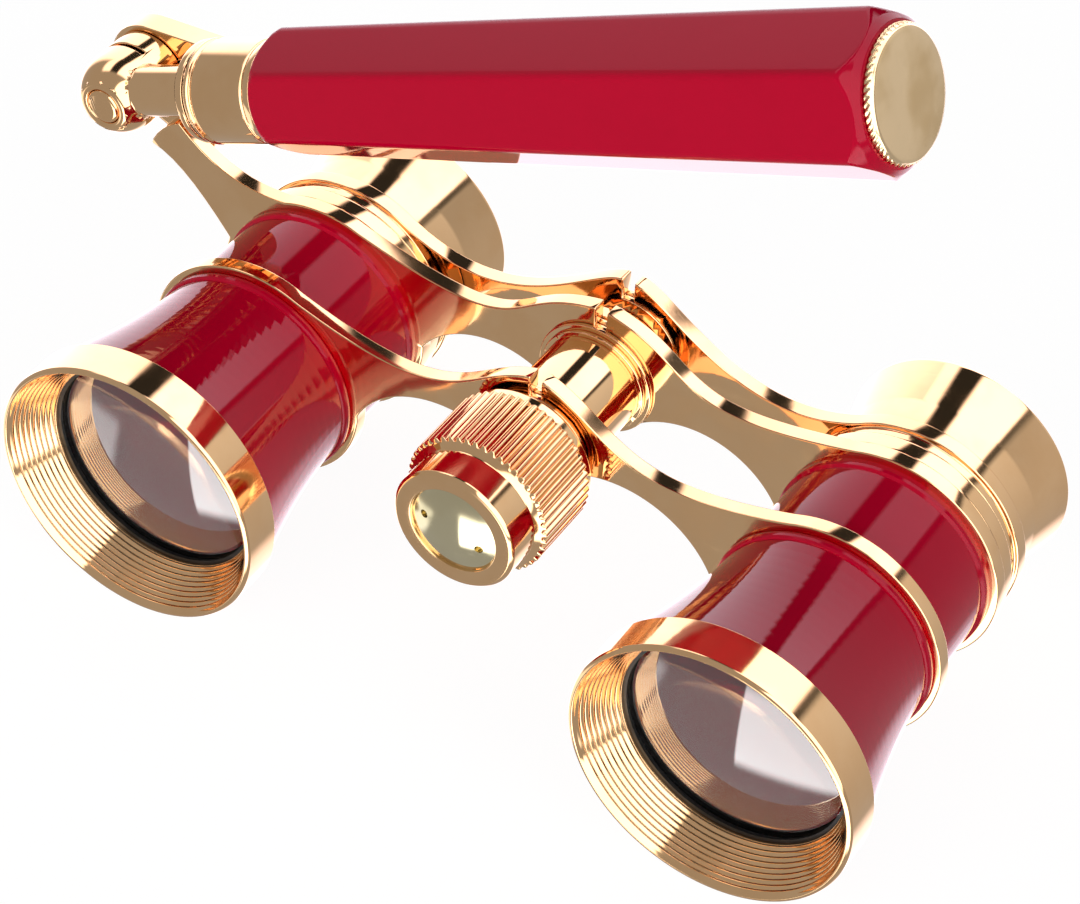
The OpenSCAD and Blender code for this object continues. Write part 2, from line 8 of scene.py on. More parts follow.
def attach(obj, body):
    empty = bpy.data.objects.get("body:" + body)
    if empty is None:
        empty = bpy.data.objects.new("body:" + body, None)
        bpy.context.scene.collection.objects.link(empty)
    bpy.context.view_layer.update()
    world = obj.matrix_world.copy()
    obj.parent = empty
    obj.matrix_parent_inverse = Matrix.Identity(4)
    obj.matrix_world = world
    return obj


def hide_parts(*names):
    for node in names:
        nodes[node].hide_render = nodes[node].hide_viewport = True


# Folding opera glasses with a lacquered side handle. The CAD frame carries every piece at
# its real size.
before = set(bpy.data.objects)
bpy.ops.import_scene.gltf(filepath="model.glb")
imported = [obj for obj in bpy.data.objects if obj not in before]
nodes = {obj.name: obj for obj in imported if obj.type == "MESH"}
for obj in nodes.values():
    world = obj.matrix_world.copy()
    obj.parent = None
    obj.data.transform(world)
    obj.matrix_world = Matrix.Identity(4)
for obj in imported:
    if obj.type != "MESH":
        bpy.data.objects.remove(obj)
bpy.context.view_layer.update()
scene = bpy.context.scene
scene.view_settings.view_transform = "Standard"
SIDES = ("right", "left")

# Camera: a close view from the front right, looking down past the two objective rims.
# Its place and roll come from matching known points of the glasses to the picture.
CAMERA_PLACE = Vector((0.13982, -0.23392, 0.27217))
CAMERA_AZIMUTH = radians(29.76)
CAMERA_ELEVATION = radians(43.26)
CAMERA_ROLL = radians(2.98)
CAMERA_LENS = 119.76
SENSOR_WIDTH = 36
NEAR_LIMIT, FAR_LIMIT = 0.01, 20


def camera_turn(azimuth, elevation, roll):
    back = Vector((sin(azimuth) * cos(elevation), -cos(azimuth) * cos(elevation), sin(elevation)))
    level = Vector((cos(azimuth), sin(azimuth), 0))
    upright = back.cross(level)
    right = cos(roll) * level + sin(roll) * upright
    up = cos(roll) * upright - sin(roll) * level
    return Matrix((right, up, back)).transposed().to_4x4()


camera_data = bpy.data.cameras.new("camera")
camera_data.lens = CAMERA_LENS
camera_data.sensor_width = SENSOR_WIDTH
camera_data.clip_start = NEAR_LIMIT
camera_data.clip_end = FAR_LIMIT
camera = bpy.data.objects.new("camera", camera_data)
scene.collection.objects.link(camera)
turn = camera_turn(CAMERA_AZIMUTH, CAMERA_ELEVATION, CAMERA_ROLL)
camera.matrix_world = Matrix.Translation(CAMERA_PLACE) @ turn
scene.camera = camera

# Tubes: brass tube turned, drilled and chemically blackened so that no light strays inside.
# They carry the shells and the eyepieces; only their ends and the lens seats show.
BLACKENING = (0.012, 0.011, 0.011, 1)
BLACKENING_WORN = (0.035, 0.030, 0.026, 1)
BLACKENING_ROUGHNESS = (0.32, 0.5)
BLACKENING_WAVE = 0.00001
TUBE_NODES = ("spacer_ring", "lens_ring", "inner_tube", "draw_tube", "eye_lens_ring")
# Handling marks: where clouds and hairlines start and end in the noise, and how a cloth wiped
CLOUD_EDGE = (0.35, 0.68)
HAIRLINE_EDGE = (0.56, 0.72)
HAIRLINE_DEPTH = 0.06
WIPE_STRETCH = (0.12, 1.0, 0.7)
WIPE_TURN = (0.4, 0.7, 0.2)


def add_node(tree, kind, inputs=None, **settings):
    made = tree.nodes.new(kind)
    for key, value in settings.items():
        setattr(made, key, value)
    for key, value in (inputs or {}).items():
        if isinstance(value, bpy.types.NodeSocket):
            tree.links.new(value, made.inputs[key])
        else:
            made.inputs[key].default_value = value
    return made


def calculate(tree, operation, first, second=0.0):
    return add_node(tree, "ShaderNodeMath", {0: first, 1: second}, operation=operation).outputs[0]


def blend_colours(tree, amount, first, second):
    mix = add_node(tree, "ShaderNodeMix", data_type="RGBA")
    for socket, value in (("Factor_Float", amount), ("A_Color", first), ("B_Color", second)):
        target = next(s for s in mix.inputs if s.identifier == socket)
        if isinstance(value, bpy.types.NodeSocket):
            tree.links.new(value, target)
        else:
            target.default_value = value
    return next(s for s in mix.outputs if s.identifier == "Result_Color")


def stretch(tree, value, low, high, new_low=0.0, new_high=1.0):
    made = add_node(tree, "ShaderNodeMapRange", {"Value": value}, interpolation_type="SMOOTHSTEP")
    limits = {"From Min": low, "From Max": high, "To Min": new_low, "To Max": new_high}
    for key, number in limits.items():
        made.inputs[key].default_value = number
    return made.outputs["Result"]


def new_group(name, inputs, outputs):
    group = bpy.data.node_groups.new(name, "ShaderNodeTree")
    for direction, sockets in (("INPUT", inputs), ("OUTPUT", outputs)):
        for label, value in sockets.items():
            kind = "NodeSocketColor" if isinstance(value, tuple) else "NodeSocketFloat"
            socket = group.interface.new_socket(label, in_out=direction, socket_type=kind)
            if direction == "INPUT":
                socket.default_value = value
    given = group.nodes.new("NodeGroupInput").outputs
    out = group.nodes.new("NodeGroupOutput").inputs
    return group, given, out


def place_group(tree, group, **values):
    made = tree.nodes.new("ShaderNodeGroup")
    made.node_tree = group
    for label, value in values.items():
        socket = made.inputs[label.replace("_", " ")]
        if isinstance(value, bpy.types.NodeSocket):
            tree.links.new(value, socket)
        else:
            socket.default_value = value
    return made.outputs


def handling_marks():
    """Soft clouding from hands and hairlines from wiping, as masks and a height."""
    group, given, out = new_group(
        "handling_marks",
        {"Cloud Size": 140.0, "Hairline Size": 900.0},
        {"Cloud": 0.0, "Hairlines": 0.0, "Height": 0.0})
    place = add_node(group, "ShaderNodeTexCoord").outputs["Object"]
    cloud = add_node(group, "ShaderNodeTexNoise", {
        "Vector": place, "Scale": given["Cloud Size"], "Detail": 3.0, "Roughness": 0.55})
    drawn = add_node(group, "ShaderNodeMapping", {
        "Vector": place, "Scale": WIPE_STRETCH, "Rotation": WIPE_TURN})
    lines = add_node(group, "ShaderNodeTexNoise", {
        "Vector": drawn.outputs[0], "Scale": given["Hairline Size"], "Detail": 2.0,
        "Roughness": 0.7})
    clouded = stretch(group, cloud.outputs["Fac"], *CLOUD_EDGE)
    hairlines = stretch(group, lines.outputs["Fac"], *HAIRLINE_EDGE)
    group.links.new(clouded, out["Cloud"])
    group.links.new(hairlines, out["Hairlines"])
    height = calculate(group, "SUBTRACT", cloud.outputs["Fac"],
                       calculate(group, "MULTIPLY", hairlines, HAIRLINE_DEPTH))
    group.links.new(height, out["Height"])
    return group


marks = handling_marks()


def new_material(name, **sockets):
    material = bpy.data.materials.new(name)
    material.use_nodes = True
    shader = material.node_tree.nodes["Principled BSDF"]
    for label, value in sockets.items():
        shader.inputs[label.replace("_", " ")].default_value = value
    return material, material.node_tree, shader


def bump(tree, shader, height, distance, strength=1.0):
    made = add_node(tree, "ShaderNodeBump", {
        "Height": height, "Distance": distance, "Strength": strength})
    tree.links.new(made.outputs[0], shader.inputs["Normal"])


def dress(material, *names):
    for name in names:
        for slot in nodes[name].material_slots:
            slot.material = material


def on_both_sides(*names):
    return [f"{name}_{side}" for name in names for side in SIDES]


blackened, tree, shader = new_material("blackened_brass", Metallic=0.0, Specular_IOR_Level=0.4)
hand = place_group(tree, marks, Cloud_Size=300.0, Hairline_Size=1500.0)
tree.links.new(blend_colours(tree, hand["Hairlines"], BLACKENING, BLACKENING_WORN),
               shader.inputs["Base Color"])
tree.links.new(stretch(tree, hand["Cloud"], 0, 1, *BLACKENING_ROUGHNESS),
               shader.inputs["Roughness"])
bump(tree, shader, hand["Height"], BLACKENING_WAVE)
dress(blackened, *on_both_sides(*TUBE_NODES))

# Objective and eye lenses: ground and polished crown glass with a thin warm coating.
# The coating gives them stronger, faintly brown and violet reflections than bare glass.
COATING_TINT = (0.93, 0.82, 0.80, 1)
COATING_TINT_EDGE = (0.80, 0.86, 0.90, 1)
GLASS_INDEX = 1.62
COATING_INDEX = 1.9
COATING_TURN = 0.4
SMEAR_ROUGHNESS = 0.03


def coated_glass():
    material, tree, shader = new_material(
        "coated_glass", Transmission_Weight=1.0, IOR=GLASS_INDEX, Coat_Weight=1.0,
        Coat_Roughness=0.0, Coat_IOR=COATING_INDEX)
    facing = add_node(tree, "ShaderNodeLayerWeight", {"Blend": COATING_TURN}).outputs["Facing"]
    tree.links.new(blend_colours(tree, facing, COATING_TINT, COATING_TINT_EDGE),
                   shader.inputs["Base Color"])
    hand = place_group(tree, marks, Cloud_Size=120.0, Hairline_Size=700.0)
    tree.links.new(stretch(tree, hand["Cloud"], 0, 1, 0, SMEAR_ROUGHNESS),
                   shader.inputs["Roughness"])
    return material


dress(coated_glass(), *on_both_sides("objective_lens", "eye_lens"))

# Objective rims: brass turned on a lathe, the funnel left with its turned steps, then
# polished and gilt. The same gilding covers the plates, the knob and the handle fittings.
GILDING = (0.88, 0.56, 0.30, 1)
GILDING_DEEP = (0.80, 0.46, 0.21, 1)
GILDING_ROUGHNESS = (0.05, 0.1)
GILDING_WAVE = 0.000012
GILDING_CLOUDING = 0.35
GILDING_CLOUD_SIZE = 140.0
# Plane of the front edges, and the two barrel axes
FRONT = -0.02675
BARREL_X = {"right": 0.04145, "left": -0.02735}
BARREL_Z = 0.0156
# Outline of the rim, in millimetres: radii, and depths behind the front edge
RIM, RIM_LENGTH = 15.6, 4.6
APERTURE, SEAT, SPIGOT = 12.5, 12.75, 13.35
SEAT_DEPTH, SPIGOT_END = 5.5, 8.6
FUNNEL_MOUTH, FUNNEL_START, FUNNEL_DEPTH = 14.85, 0.35, 5.1
FUNNEL_STEPS = 9
LAND_SHARE, LAND_SLOPE = 0.85, 1.3
RIM_LIP = 0.2
RIM_BREAK = ((0, 0.35), (0.15, 0.1), (0.4, 0))
RIM_SOFTNESS = 0.05
# Points round a turned piece, and the share of a rib that stands at full height
TURN_POINTS = 160
RIB_LAND = 0.8
# Seams of an imported mesh are joined within this distance
SEAM = 0.0000015
SHARP_ANGLE = 32


def gilding(name, colour, deep, roughness, wave=GILDING_WAVE, clouding=GILDING_CLOUDING,
            size=GILDING_CLOUD_SIZE):
    material, tree, shader = new_material(name, Metallic=1.0)
    hand = place_group(tree, marks, Cloud_Size=size)
    worn = stretch(tree, hand["Cloud"], 0, 1, 0, clouding)
    tree.links.new(blend_colours(tree, worn, colour, deep), shader.inputs["Base Color"])
    dulled = calculate(tree, "MAXIMUM", hand["Cloud"], hand["Hairlines"])
    tree.links.new(stretch(tree, dulled, 0, 1, *roughness), shader.inputs["Roughness"])
    bump(tree, shader, hand["Height"], wave)
    return material


def smoothing_nodes():
    """Joins the split seams of an imported mesh and shades it smooth, as a modifier."""
    group = bpy.data.node_groups.new("joined_and_smooth", "GeometryNodeTree")
    for direction in ("INPUT", "OUTPUT"):
        group.interface.new_socket("Geometry", in_out=direction, socket_type="NodeSocketGeometry")
    given = group.nodes.new("NodeGroupInput")
    weld = group.nodes.new("GeometryNodeMergeByDistance")
    weld.inputs["Distance"].default_value = SEAM
    smooth = group.nodes.new("GeometryNodeSetShadeSmooth")
    out = group.nodes.new("NodeGroupOutput")
    group.links.new(given.outputs[0], weld.inputs["Geometry"])
    group.links.new(weld.outputs[0], smooth.inputs["Geometry"])
    group.links.new(smooth.outputs[0], out.inputs[0])
    return group


joined_and_smooth = smoothing_nodes()


def rub_edges(width, *names):
    """Breaks every sharp edge by a small round, as polishing does."""
    for name in names:
        stack = nodes[name].modifiers
        join = stack.new("join", "NODES")
        join.node_group = joined_and_smooth
        rounding = stack.new("rubbed_edges", "BEVEL")
        rounding.width = width
        rounding.segments = 2
        rounding.limit_method = "ANGLE"
        rounding.angle_limit = radians(SHARP_ANGLE)
        rounding.use_clamp_overlap = False
        rounding.miter_outer = "MITER_ARC"
        shading = stack.new("shading", "WEIGHTED_NORMAL")
        shading.keep_sharp = False


def lofted(name, rings, through=True):
    """A closed skin over rings of points that all have the same count."""
    form = bmesh.new()
    loops = [[form.verts.new(point) for point in ring] for ring in rings]
    if not through:
        form.faces.new(reversed(loops[0]))
        form.faces.new(loops[-1])
    for first, second in zip(loops, loops[1:] + loops[:1] if through else loops[1:]):
        for index in range(len(first)):
            after = (index + 1) % len(first)
            form.faces.new((first[index], first[after], second[after], second[index]))
    bmesh.ops.recalc_face_normals(form, faces=form.faces)
    mesh = bpy.data.meshes.new(name)
    form.to_mesh(mesh)
    form.free()
    mesh.shade_smooth()
    made = bpy.data.objects.new(name, mesh)
    scene.collection.objects.link(made)
    shading = made.modifiers.new("shading", "WEIGHTED_NORMAL")
    shading.keep_sharp = False
    return made


def softened(outline, radius, steps=3):
    """A closed outline in millimetres with every corner rounded, given back in metres."""
    points = []
    befores, afters = outline[-1:] + outline[:-1], outline[1:] + outline[:1]
    for before, corner, after in zip(befores, outline, afters):
        before, corner, after = Vector(before), Vector(corner), Vector(after)
        back, on = before - corner, after - corner
        start = corner + back * min(radius / back.length, 0.45)
        end = corner + on * min(radius / on.length, 0.45)
        for step in range(steps + 1):
            t = step / steps
            points.append(((1 - t) ** 2 * start + 2 * t * (1 - t) * corner + t * t * end) / 1000)
    return points


def turned(name, x, z, outline, radius, turns=TURN_POINTS, ribs=0, root=1.0, through=True):
    """A piece turned about an axis along Y from an outline of (radius, depth behind the rims).
    Where ribs are asked for, what stands out beyond the root radius is milled into ribs."""
    rings = []
    for out, depth in softened(outline, radius):
        ring = []
        for k in range(turns):
            angle = 2 * pi * k / turns
            crest = min(1.0, RIB_LAND + RIB_LAND * cos(ribs * angle))
            far = min(out, root) + max(out - root, 0) * max(crest, 0)
            ring.append(Vector((x + far * cos(angle), FRONT + depth, z + far * sin(angle))))
        rings.append(ring)
    return lofted(name, rings, through)


def stands_for(piece, node, body, material):
    piece.data.materials.append(material)
    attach(piece, body)
    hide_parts(node)


gilt = gilding("gilt_brass", GILDING, GILDING_DEEP, GILDING_ROUGHNESS)


def objective_rim(side):
    step_out = (FUNNEL_MOUTH - APERTURE) / FUNNEL_STEPS
    step_in = (FUNNEL_DEPTH - FUNNEL_START) / FUNNEL_STEPS
    funnel = []
    for step in range(FUNNEL_STEPS):
        out, depth = FUNNEL_MOUTH - step * step_out, FUNNEL_START + step * step_in
        land = out - LAND_SHARE * step_out
        funnel += [(out, depth), (land, depth + LAND_SHARE * step_out * LAND_SLOPE),
                   (land, depth + step_in)]
    outline = [(RIM, RIM_LENGTH)] + [(RIM - inward, depth) for inward, depth in RIM_BREAK]
    outline += [(FUNNEL_MOUTH + RIM_LIP, 0)] + funnel
    outline += [(APERTURE, FUNNEL_DEPTH), (APERTURE, SEAT_DEPTH), (SEAT, SEAT_DEPTH),
                (SEAT, SPIGOT_END), (SPIGOT, SPIGOT_END), (SPIGOT, RIM_LENGTH)]
    made = turned(f"objective_rim_turned_{side}", BARREL_X[side], BARREL_Z, outline,
                  RIM_SOFTNESS)
    stands_for(made, f"objective_rim_{side}", f"{side}_half", gilt)


for side in SIDES:
    objective_rim(side)

# Shells: thin drawn brass sleeves under many coats of crimson lacquer, polished to a deep
# gloss, the front one drawn in behind its rim and both ended in a small bead.
LACQUER = (0.6, 0.0008, 0.03, 1)
LACQUER_DEEP = (0.45, 0.0004, 0.02, 1)
GLAZE_TINT = (1.0, 0.36, 0.42, 1)
LACQUER_TURN = 0.35
LACQUER_CLOUDING = 0.25
LACQUER_ROUGHNESS = (0.03, 0.1)
ORANGE_PEEL = 0.000006


def lacquer_coats(name):
    material, tree, shader = new_material(
        name, Metallic=0.0, Coat_Weight=0.1, Coat_Roughness=0.02, Coat_IOR=1.45,
        Specular_IOR_Level=0.24, Specular_Tint=GLAZE_TINT)
    hand = place_group(tree, marks, Cloud_Size=90.0, Hairline_Size=1100.0)
    facing = add_node(tree, "ShaderNodeLayerWeight", {"Blend": LACQUER_TURN}).outputs["Facing"]
    clouding = stretch(tree, hand["Cloud"], 0, 1, 0, LACQUER_CLOUDING)
    depth = calculate(tree, "MAXIMUM", facing, clouding)
    tree.links.new(blend_colours(tree, depth, LACQUER, LACQUER_DEEP), shader.inputs["Base Color"])
    tree.links.new(stretch(tree, hand["Hairlines"], 0, 1, *LACQUER_ROUGHNESS),
                   shader.inputs["Roughness"])
    bump(tree, shader, hand["Height"], ORANGE_PEEL)
    return material


crimson = lacquer_coats("crimson_lacquer")
shells = on_both_sides("front_shell", "rear_shell")
dress(crimson, *shells)

# Bridge plates: six halves cut from gilt brass plate, lapped in pairs at the hinge. Their
# long edges are rubbed round and bright, and the stop horns meet above the hinge.
PLATE_EDGE = 0.00018
bridges = on_both_sides("front_bridge", "middle_bridge", "rear_bridge", "stop_ring")
dress(gilt, *bridges)
rub_edges(PLATE_EDGE, *bridges)

# Centre hinge: a turned column with spigots through the plates, washers and a rear nut,
# all gilt brass like the plates that turn on them.
HUB_EDGE = 0.00012
hub = ["hub_column", "hub_front_ring", "hub_washer_front", "hub_washer_rear", "hub_nut"]
dress(gilt, *hub)
rub_edges(HUB_EDGE, *hub)

# Focus knob: turned brass with straight milled ribs, and a domed screw with two pin holes
# let into its face. The spindle inside it pushes the rear plates and the eyepieces.
SCREW_BRASS = (0.72, 0.64, 0.42, 1)
SCREW_BRASS_DEEP = (0.60, 0.50, 0.28, 1)
SCREW_ROUGHNESS = (0.08, 0.16)
HUB_X, HUB_Z = 0.00705, 0.0227
# Radii of the knob in millimetres, and depths behind the rims
KNOB_BAND, KNOB_ROOT, KNOB_CREST, KNOB_RECESS = 7.05, 7.7, 8.2, 5
KNOB_BREAK, KNOB_BACK_BREAK, KNOB_SOFTNESS = 0.35, 0.4, 0.12
SPINDLE_SLEEVE, SPINDLE_BORE = 2.95, 2.45
KNOB_FACE, RECESS_FLOOR, BORE_FLOOR, BAND_END = 8.4, 9.6, 13.4, 12.3
RIBS_FOOT, RIBS_START, RIBS_END, RIBS_BACK = 12.8, 12.95, 21.1, 21.3
COLLAR_END, KNOB_BACK, SLEEVE_TIP = 22.2, 22.6, 33
KNOB_RIBS = 50
POINTS_PER_RIB = 8
SPINDLE_EDGE = 0.0001
dress(gilt, "focus_spindle", "rear_hub_screw")
rub_edges(SPINDLE_EDGE, "focus_spindle", "rear_hub_screw")
knob_outline = [
    (KNOB_RECESS, RECESS_FLOOR), (KNOB_RECESS, KNOB_FACE), (KNOB_BAND - KNOB_BREAK, KNOB_FACE),
    (KNOB_BAND, KNOB_FACE + KNOB_BREAK), (KNOB_BAND, BAND_END), (KNOB_ROOT, RIBS_FOOT),
    (KNOB_CREST, RIBS_START), (KNOB_CREST, RIBS_END), (KNOB_ROOT, RIBS_BACK),
    (KNOB_ROOT, COLLAR_END), (KNOB_ROOT - KNOB_BACK_BREAK, KNOB_BACK),
    (SPINDLE_SLEEVE, KNOB_BACK), (SPINDLE_SLEEVE, SLEEVE_TIP), (SPINDLE_BORE, SLEEVE_TIP),
    (SPINDLE_BORE, BORE_FLOOR)]
knob = turned("focus_knob_ribbed", HUB_X, HUB_Z, knob_outline, KNOB_SOFTNESS,
              KNOB_RIBS * POINTS_PER_RIB, KNOB_RIBS, KNOB_ROOT / 1000, through=False)
stands_for(knob, "focus_knob", "focus_knob", gilt)
dress(gilding("bright_brass_screw", SCREW_BRASS, SCREW_BRASS_DEEP, SCREW_ROUGHNESS),
      "knob_screw")

# Eyepieces: flared eyecups of brass, turned and gilt, each plugged into the end of a
# blackened draw tube, dished down to the eye lens and rounded at the rim.
CUP_START, CUP_END = 44.2, 53.5
CUP_FOOT, CUP_RIM, CUP_BORE = 10.9, 12.6, 9.7
# Steps of the outline from those, as (radius, depth): foot, rim, dish, lens seat and plug
FOOT_FLARE = (0.5, 3.5)
RIM_ROUND, RIM_FLAT = 0.35, 0.75
DISH_TOP = (1.2, 1.5)
DISH_FLOOR, DISH_FOOT = (0.5, 4.2), (0.1, 2.9)
SEAT_STEP, SEAT_SIDE, PLUG_STEP, PLUG_LENGTH = 0.8, 0.4, 1.5, 2
CUP_SOFTNESS = 0.2
EYE_BODY = {"right": "carriage", "left": "left_eyepiece"}


def eyecup(side):
    outside = [(CUP_FOOT, CUP_START), (CUP_FOOT + FOOT_FLARE[0], CUP_START + FOOT_FLARE[1]),
               (CUP_RIM, CUP_END - RIM_ROUND), (CUP_RIM - RIM_ROUND, CUP_END),
               (CUP_RIM - RIM_FLAT, CUP_END)]
    dish = [(CUP_RIM - DISH_TOP[0], CUP_END - DISH_TOP[1]),
            (CUP_BORE + DISH_FLOOR[0], CUP_START + DISH_FLOOR[1]),
            (CUP_BORE + DISH_FOOT[0], CUP_START + DISH_FOOT[1])]
    seat = [(CUP_BORE - SEAT_STEP, CUP_START + DISH_FOOT[1]),
            (CUP_BORE - SEAT_STEP, CUP_START + SEAT_SIDE)]
    plug = [(CUP_BORE - PLUG_STEP, CUP_START + SEAT_SIDE),
            (CUP_BORE - PLUG_STEP, CUP_START - PLUG_LENGTH),
            (CUP_BORE, CUP_START - PLUG_LENGTH), (CUP_BORE, CUP_START)]
    made = turned(f"eyecup_turned_{side}", BARREL_X[side], BARREL_Z,
                  outside + dish + seat + plug, CUP_SOFTNESS)
    stands_for(made, f"eyecup_{side}", EYE_BODY[side], gilt)


for side in SIDES:
    eyecup(side)

# Handle hinge: a cast and polished knuckle, split and drilled, that swings on a pin in a
# lug behind the end of the middle plate.
KNUCKLE_EDGE = 0.00018
hinge = ["handle_lug", "handle_pin", "handle_knuckle"]
dress(gilt, *hinge)
rub_edges(KNUCKLE_EDGE, *hinge)

# Handle fittings: a gilt inner tube that turns in the knuckle, its stop, and the grooved
# collar at the mouth of the sleeve.
FITTING_EDGE = 0.0001
fittings = ["handle_tube", "tube_stop", "handle_collar"]
dress(gilt, *fittings)
rub_edges(FITTING_EDGE, *fittings)

# Handle sleeve: a six-sided brass tube that widens away from the hinge, turned down at both
# ends and lacquered like the barrels. It slides out along the inner tube.
PIN = Vector((-0.05185, 0.00745, 0.0353))
HANDLE_TILT = radians(23.4)
ALONG = Vector((cos(HANDLE_TILT), 0, sin(HANDLE_TILT)))
ACROSS = Vector((-sin(HANDLE_TILT), 0, cos(HANDLE_TILT)))
SLEEVE_START, SLEEVE_END = 0.0231, 0.0973
SLEEVE_MOUTH, SLEEVE_FOOT, SLEEVE_BORE = 0.0069, 0.0085, 0.005
SLEEVE_CORNER = radians(48.25)
CORNER_SOFTNESS = 0.00013
END_SOFTNESS = 0.00004
# How far the lathe cut in at each end of the sleeve, by the distance from that end
MOUTH_TURNED = ((0, -0.00115), (0.0007, -0.0004), (0.0017, 0.0001), (0.0037, 0.0026))
FOOT_TURNED = ((0.0026, 0.001), (0.0022, 0.0001), (0.00145, -0.0004), (0.0006, -0.00105),
               (0, -0.0017))
# Rings of points: close together at the ends of the sleeve, and wider apart between them
SLEEVE_POINTS = 144
END_RINGS, END_STEP = 41, 0.0001
MIDDLE_START, MIDDLE_RINGS, MIDDLE_STEP = 0.004, 30, 0.0022
# A wall seen more aslant than this cosine is another side's
WALL_IN_SIGHT = 0.3


def on_handle(along, out, turn):
    """A point of the handle: its way along the axis, its radius, and its turn about it."""
    return PIN + along * ALONG + out * (sin(turn) * Vector((0, 1, 0)) - cos(turn) * ACROSS)


def softer(lengths, softness):
    """The least of some lengths, with the corner between them rounded."""
    least = min(lengths)
    return least - softness * log(sum(exp((least - length) / softness) for length in lengths))


def read_off(points, at):
    for (x0, y0), (x1, y1) in zip(points, points[1:]):
        if at <= x1:
            return y0 + (y1 - y0) * max(at - x0, 0) / (x1 - x0)
    return points[-1][1]


def hexagon(corner, turn):
    """Distance to the wall of a hexagon with softened corners, at a turn from a corner."""
    turn = turn % (pi / 3)
    walls = [corner * cos(pi / 6) / cos(turn - wall) for wall in (-pi / 6, pi / 6, pi / 2)
             if cos(turn - wall) > WALL_IN_SIGHT]
    return softer(walls, CORNER_SOFTNESS)


def handle_sleeve():
    length = SLEEVE_END - SLEEVE_START
    circle = [2 * pi * k / SLEEVE_POINTS for k in range(SLEEVE_POINTS)]
    ends = [END_STEP * step for step in range(END_RINGS)]
    middle = [MIDDLE_START + MIDDLE_STEP * step for step in range(1, MIDDLE_RINGS + 1)]
    lathe_cut = [(at, SLEEVE_MOUTH + out) for at, out in MOUTH_TURNED]
    lathe_cut += [(length - at, SLEEVE_FOOT + out) for at, out in FOOT_TURNED]
    rings = []
    for station in sorted(ends + middle + [length - step for step in ends]):
        corner = SLEEVE_MOUTH + (SLEEVE_FOOT - SLEEVE_MOUTH) * station / length
        limit = read_off(lathe_cut, station)
        rings.append([on_handle(SLEEVE_START + station,
                                softer((hexagon(corner, turn), limit), END_SOFTNESS),
                                SLEEVE_CORNER + turn) for turn in circle])
    for end in (SLEEVE_END, SLEEVE_START):
        rings.append([on_handle(end, SLEEVE_BORE, SLEEVE_CORNER + turn) for turn in circle])
    made = lofted("handle_sleeve_lacquered", rings)
    stands_for(made, "handle_sleeve", "handle_grip", crimson)


handle_sleeve()

# Handle cap: a gilt brass disc with a coined edge, held in the end of the sleeve by a plug
# behind it. Its face is worn and cloudy from the palm.
CAP_EDGE, CAP_THICK, CAP_PLUG = 0.00665, 0.0008, 0.005
CAP_CORDS, POINTS_PER_CORD = 56, 6
CORD_STEPS, CORD_LEAN = 8, 2.4
CORD_INSET, CORD_SWELL, CORD_RISE = 0.0003, 0.00018, 0.00012
CAP_CENTRE = 0.0001
# Radius and height of the rings from the coined edge in to the middle of the face
CAP_FACE = ((0.00632, 0.00083), (0.00628, 0.00092), (0.00615, 0.00102), (0.0058, 0.00107),
            (0.004, 0.00112), (0.002, 0.00114), (CAP_CENTRE, 0.00115))
GILDING_WORN = (0.95, 0.70, 0.42, 1)
GILDING_RUBBED = (0.62, 0.40, 0.16, 1)
WORN_ROUGHNESS = (0.12, 0.26)
WORN_WAVE, WORN_CLOUDING, WORN_CLOUD_SIZE = 0.00012, 0.55, 110.0


def handle_cap():
    """The coined edge lies like a slanting cord round the disc."""
    points = CAP_CORDS * POINTS_PER_CORD
    circle = [2 * pi * k / points for k in range(points)]
    behind = SLEEVE_END - CAP_PLUG
    rings = [[on_handle(behind, CAP_CENTRE, turn) for turn in circle],
             [on_handle(behind, SLEEVE_BORE, turn) for turn in circle],
             [on_handle(SLEEVE_END, SLEEVE_BORE, turn) for turn in circle]]
    for step in range(CORD_STEPS + 1):
        t = step / CORD_STEPS
        swell = sin(pi * t) ** 0.5
        ring = []
        for turn in circle:
            cord = CORD_SWELL + CORD_RISE * cos(CAP_CORDS * turn + CORD_LEAN * pi * t)
            ring.append(on_handle(SLEEVE_END + t * CAP_THICK,
                                  CAP_EDGE - CORD_INSET + swell * cord, turn))
        rings.append(ring)
    for out, rise in CAP_FACE:
        rings.append([on_handle(SLEEVE_END + rise, out, turn) for turn in circle])
    made = lofted("handle_cap_coined", rings, through=False)
    worn = gilding("gilt_cap", GILDING_WORN, GILDING_RUBBED, WORN_ROUGHNESS, WORN_WAVE,
                   WORN_CLOUDING, WORN_CLOUD_SIZE)
    stands_for(made, "handle_cap", "handle_grip", worn)


handle_cap()

# Table top: a plain sheet of pale paper. To the camera it glows up to white, but it keeps
# most of the soft shadow under the glasses.
FLOOR_SIZE = 6
PAPER = (0.9, 0.9, 0.9, 1)
PAPER_ROUGHNESS = 0.9
PAPER_GRAIN, PAPER_WAVE = 900.0, 0.00002
GLOW_TO_CAMERA = 0.9
GLOW_LEVEL = 1.06
floor_mesh = bpy.data.meshes.new("floor")
half = FLOOR_SIZE / 2
corners = [(-half, -half, 0), (half, -half, 0), (half, half, 0), (-half, half, 0)]
floor_mesh.from_pydata(corners, [], [(0, 1, 2, 3)])
floor = bpy.data.objects.new("floor", floor_mesh)
scene.collection.objects.link(floor)
floor.visible_glossy = False
paper, tree, shader = new_material("floor_paper", Base_Color=PAPER, Roughness=PAPER_ROUGHNESS)
grain = add_node(tree, "ShaderNodeTexNoise", {"Scale": PAPER_GRAIN, "Detail": 3.0})
bump(tree, shader, grain.outputs["Fac"], PAPER_WAVE)
ray = add_node(tree, "ShaderNodeLightPath").outputs
glow = add_node(tree, "ShaderNodeEmission", {"Strength": GLOW_LEVEL})
seen = calculate(tree, "MULTIPLY", ray["Is Camera Ray"], GLOW_TO_CAMERA)
